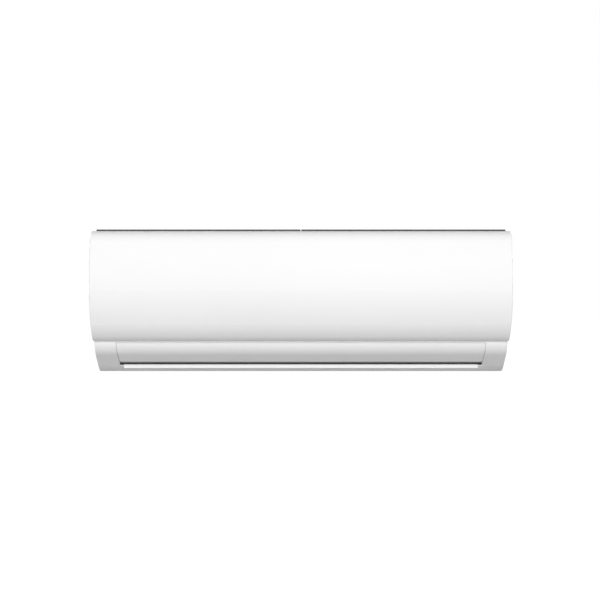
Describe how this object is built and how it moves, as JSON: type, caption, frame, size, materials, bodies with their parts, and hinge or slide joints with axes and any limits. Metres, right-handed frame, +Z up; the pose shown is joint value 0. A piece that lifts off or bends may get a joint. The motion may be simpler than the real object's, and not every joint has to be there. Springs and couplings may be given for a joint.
{
  "type": "mini split indoor unit",
  "caption": "Wall-mounted air conditioner indoor unit: bowed white front panel over a curved outlet louver, top intake with filter cassettes, cross-flow fan, coil and drain pan inside.",
  "frame": {"origin": "On the wall plane, the back of the mounting plate, at the unit's mid-width and mid-height", "axes": "+X to the right seen from the front, along the unit's length; +Y into the wall; +Z up"},
  "size_m": [0.85, 0.205, 0.298],
  "materials": {
    "panel": "smooth satin gloss white",
    "casing": "satin white",
    "louver": "satin white",
    "chassis": "fine matte, off-white",
    "filter_frame": "matte dark grey",
    "filter_net": "fine woven net, dark grey",
    "fan": "matte black, glass-filled",
    "steel": "bright steel",
    "bearing": "oiled sintered bronze",
    "rubber": "matte black",
    "zinc": "zinc-coated sheet, spangled",
    "fins": "thin bare fins",
    "copper": "drawn copper tube",
    "brass": "turned brass",
    "vane": "matte light grey",
    "box": "matte grey, flame-retardant",
    "board": "green laminate",
    "components": "moulded black",
    "terminal": "moulded black with plated screws",
    "button": "satin white"
  },
  "bodies": {
    "unit": {"front_casing": "casing", "intake_grille": "casing", "chassis": "chassis", "drain_pan": "chassis", "fan_bearing": "bearing", "bearing_grommet": "rubber", "fan_motor": "zinc", "motor_rings": "rubber", "motor_clamp": "chassis", "evaporator_fins_front_lower": "fins", "evaporator_fins_front_upper": "fins", "evaporator_fins_rear": "fins", "evaporator_tubes": "copper", "return_bends": "copper", "coil_jumpers": "copper", "coil_end_plate_left": "zinc", "coil_end_plate_right": "zinc", "liquid_pipe": "copper", "gas_pipe": "copper", "liquid_union": "brass", "gas_union": "brass", "pipe_clip": "chassis", "drain_plug": "rubber", "louver_motor": "zinc", "control_box": "box", "control_box_cover": "zinc", "terminal_cover": "box", "control_board": "board", "board_components": "components", "terminal_block": "terminal", "cord_clamp": "box", "display_board": "board", "temperature_sensors": "components", "mounting_plate": "zinc", "fixing_screws": "steel"},
    "front_panel": {"front_panel": "panel"},
    "louver": {"louver": "louver", "louver_drive_shaft": "chassis"},
    "fan": {"fan_rotor": "fan", "fan_shafts": "steel"},
    "filter_left": {"filter_frame_left": "filter_frame", "filter_net_left": "filter_net"},
    "filter_right": {"filter_frame_right": "filter_frame", "filter_net_right": "filter_net"},
    "rod_left": {"vane_rod_left": "vane"},
    "rod_right": {"vane_rod_right": "vane"},
    "manual_button": {"manual_button": "button"},
    "vane_01": {"vane_01": "vane"},
    "vane_02": {"vane_02": "vane"},
    "vane_03": {"vane_03": "vane"},
    "vane_04": {"vane_04": "vane"},
    "vane_05": {"vane_05": "vane"},
    "vane_06": {"vane_06": "vane"},
    "vane_07": {"vane_07": "vane"},
    "vane_08": {"vane_08": "vane"},
    "vane_09": {"vane_09": "vane"},
    "vane_10": {"vane_10": "vane"},
    "vane_11": {"vane_11": "vane"},
    "vane_12": {"vane_12": "vane"}
  },
  "joints": [
    {"name": "panel_hinge", "type": "hinge", "parent": "unit", "child": "front_panel", "pos_m": [0, -0.157, 0.135], "axis": [-1, 0, 0], "range_deg": [0, 60]},
    {"name": "louver_hinge", "type": "hinge", "parent": "unit", "child": "louver", "pos_m": [0, -0.12075, -0.10444], "axis": [1, 0, 0], "range_deg": [0, 80]},
    {"name": "fan_spin", "type": "hinge", "parent": "unit", "child": "fan", "pos_m": [0, -0.093, -0.019], "axis": [1, 0, 0], "continuous": true},
    {"name": "filter_left_slide", "type": "slide", "parent": "unit", "child": "filter_left", "axis": [0, 0, 1], "range_m": [0, 0.06]},
    {"name": "filter_right_slide", "type": "slide", "parent": "unit", "child": "filter_right", "axis": [0, 0, 1], "range_m": [0, 0.06]},
    {"name": "manual_button_press", "type": "slide", "parent": "unit", "child": "manual_button", "axis": [0, 1, 0], "range_m": [0, 0.0012], "stiffness_N_per_m": 500},
    {"name": "vane_01_swing", "type": "hinge", "parent": "unit", "child": "vane_01", "pos_m": [-0.33175, -0.07455, -0.09607], "axis": [0, -0.7431, 0.6691], "range_deg": [-35, 35]},
    {"name": "vane_02_swing", "type": "hinge", "parent": "unit", "child": "vane_02", "pos_m": [-0.27775, -0.07455, -0.09607], "axis": [0, -0.7431, 0.6691], "range_deg": [-35, 35]},
    {"name": "vane_03_swing", "type": "hinge", "parent": "unit", "child": "vane_03", "pos_m": [-0.22375, -0.07455, -0.09607], "axis": [0, -0.7431, 0.6691], "range_deg": [-35, 35]},
    {"name": "vane_04_swing", "type": "hinge", "parent": "unit", "child": "vane_04", "pos_m": [-0.16975, -0.07455, -0.09607], "axis": [0, -0.7431, 0.6691], "range_deg": [-35, 35]},
    {"name": "vane_05_swing", "type": "hinge", "parent": "unit", "child": "vane_05", "pos_m": [-0.11575, -0.07455, -0.09607], "axis": [0, -0.7431, 0.6691], "range_deg": [-35, 35]},
    {"name": "vane_06_swing", "type": "hinge", "parent": "unit", "child": "vane_06", "pos_m": [-0.06175, -0.07455, -0.09607], "axis": [0, -0.7431, 0.6691], "range_deg": [-35, 35]},
    {"name": "vane_07_swing", "type": "hinge", "parent": "unit", "child": "vane_07", "pos_m": [-0.00775, -0.07455, -0.09607], "axis": [0, -0.7431, 0.6691], "range_deg": [-35, 35]},
    {"name": "vane_08_swing", "type": "hinge", "parent": "unit", "child": "vane_08", "pos_m": [0.04625, -0.07455, -0.09607], "axis": [0, -0.7431, 0.6691], "range_deg": [-35, 35]},
    {"name": "vane_09_swing", "type": "hinge", "parent": "unit", "child": "vane_09", "pos_m": [0.10025, -0.07455, -0.09607], "axis": [0, -0.7431, 0.6691], "range_deg": [-35, 35]},
    {"name": "vane_10_swing", "type": "hinge", "parent": "unit", "child": "vane_10", "pos_m": [0.15425, -0.07455, -0.09607], "axis": [0, -0.7431, 0.6691], "range_deg": [-35, 35]},
    {"name": "vane_11_swing", "type": "hinge", "parent": "unit", "child": "vane_11", "pos_m": [0.20825, -0.07455, -0.09607], "axis": [0, -0.7431, 0.6691], "range_deg": [-35, 35]},
    {"name": "vane_12_swing", "type": "hinge", "parent": "unit", "child": "vane_12", "pos_m": [0.26225, -0.07455, -0.09607], "axis": [0, -0.7431, 0.6691], "range_deg": [-35, 35]},
    {"name": "rod_left_pin", "type": "hinge", "parent": "vane_01", "child": "rod_left", "pos_m": [-0.33175, -0.08057, -0.10276], "axis": [0, -0.7431, 0.6691], "range_deg": [-35, 35]},
    {"name": "rod_right_pin", "type": "hinge", "parent": "vane_07", "child": "rod_right", "pos_m": [-0.00775, -0.08057, -0.10276], "axis": [0, -0.7431, 0.6691], "range_deg": [-35, 35]}
  ],
  "couplings": [
    {"joint": "vane_02_swing", "follows": "vane_01_swing", "ratio": 1},
    {"joint": "vane_03_swing", "follows": "vane_01_swing", "ratio": 1},
    {"joint": "vane_04_swing", "follows": "vane_01_swing", "ratio": 1},
    {"joint": "vane_05_swing", "follows": "vane_01_swing", "ratio": 1},
    {"joint": "vane_06_swing", "follows": "vane_01_swing", "ratio": 1},
    {"joint": "vane_08_swing", "follows": "vane_07_swing", "ratio": 1},
    {"joint": "vane_09_swing", "follows": "vane_07_swing", "ratio": 1},
    {"joint": "vane_10_swing", "follows": "vane_07_swing", "ratio": 1},
    {"joint": "vane_11_swing", "follows": "vane_07_swing", "ratio": 1},
    {"joint": "vane_12_swing", "follows": "vane_07_swing", "ratio": 1},
    {"joint": "rod_left_pin", "follows": "vane_01_swing", "ratio": -1},
    {"joint": "rod_right_pin", "follows": "vane_07_swing", "ratio": -1}
  ]
}
